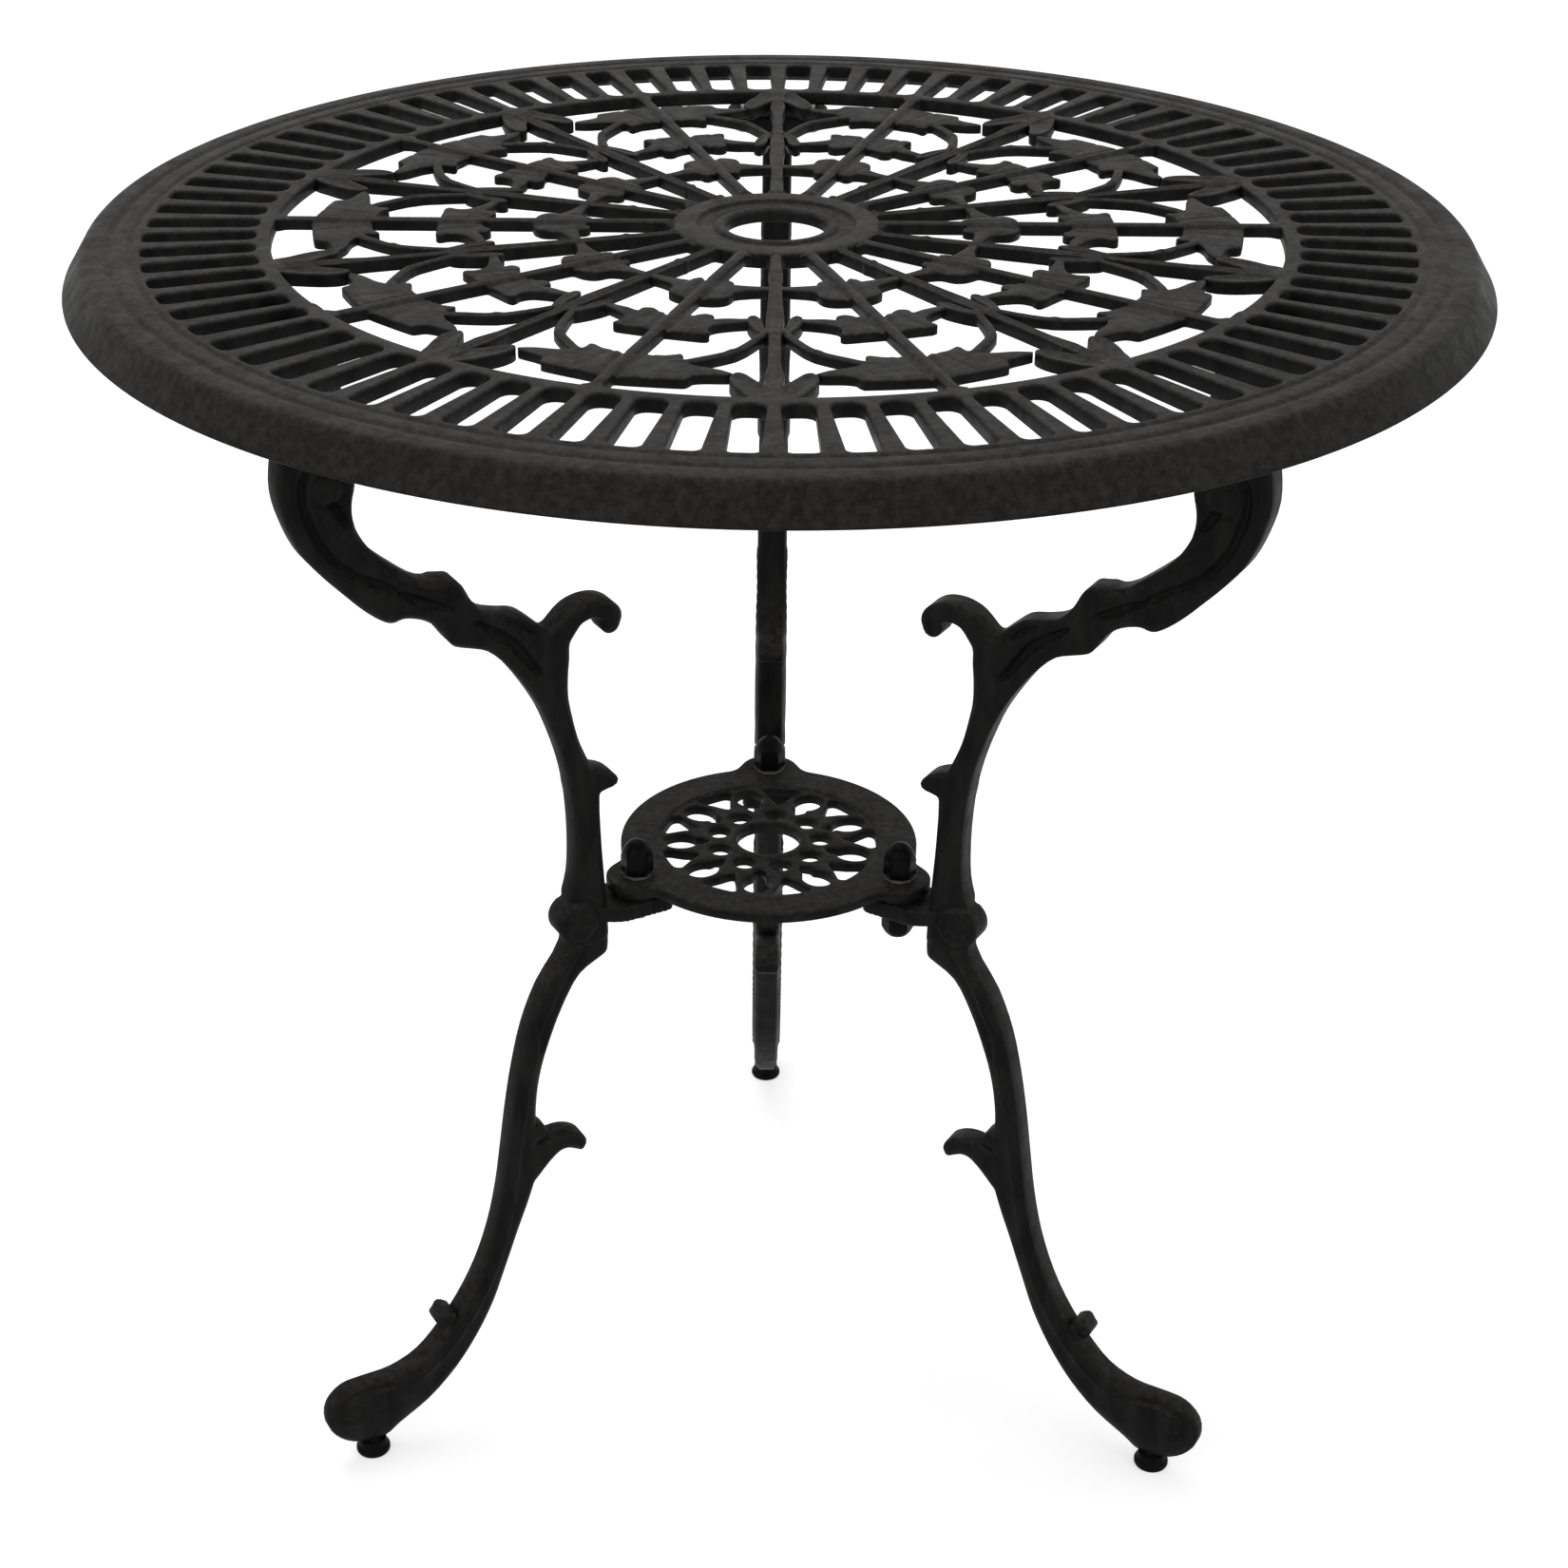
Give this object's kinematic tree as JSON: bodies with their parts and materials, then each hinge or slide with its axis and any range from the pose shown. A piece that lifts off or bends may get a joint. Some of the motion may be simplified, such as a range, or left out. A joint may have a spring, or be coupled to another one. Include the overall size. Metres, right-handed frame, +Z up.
{
  "type": "patio table with parasol hole",
  "caption": "Round pierced cast-metal bistro table with a parasol hole, curved legs and a pierced lower plate.",
  "frame": {"origin": "on the floor, on the table's vertical axis", "axes": "+Z up the table's axis, +Y towards the rear leg, -Y towards the gap between the two front legs"},
  "size_m": [0.68, 0.68, 0.667],
  "materials": {
    "cast_black": "satin black powder coat",
    "plastic_black": "smooth",
    "zinc": "bright zinc"
  },
  "bodies": {
    "root": {"table_top": "cast_black", "lower_plate": "cast_black", "leg_left": "cast_black", "leg_right": "cast_black", "leg_rear": "cast_black", "plate_bolt_left": "zinc", "plate_washer_upper_left": "zinc", "plate_washer_lower_left": "zinc", "plate_nut_left": "zinc", "nut_cap_left": "plastic_black", "top_screw_left_1": "zinc", "top_screw_left_2": "zinc", "glide_left": "plastic_black", "plate_bolt_right": "zinc", "plate_washer_upper_right": "zinc", "plate_washer_lower_right": "zinc", "plate_nut_right": "zinc", "nut_cap_right": "plastic_black", "bolt_cap_right": "plastic_black", "top_screw_right_1": "zinc", "top_screw_right_2": "zinc", "glide_right": "plastic_black", "plate_bolt_rear": "zinc", "plate_washer_upper_rear": "zinc", "plate_washer_lower_rear": "zinc", "plate_nut_rear": "zinc", "nut_cap_rear": "plastic_black", "bolt_cap_rear": "plastic_black", "top_screw_rear_1": "zinc", "top_screw_rear_2": "zinc", "glide_rear": "plastic_black"}
  },
  "joints": []
}
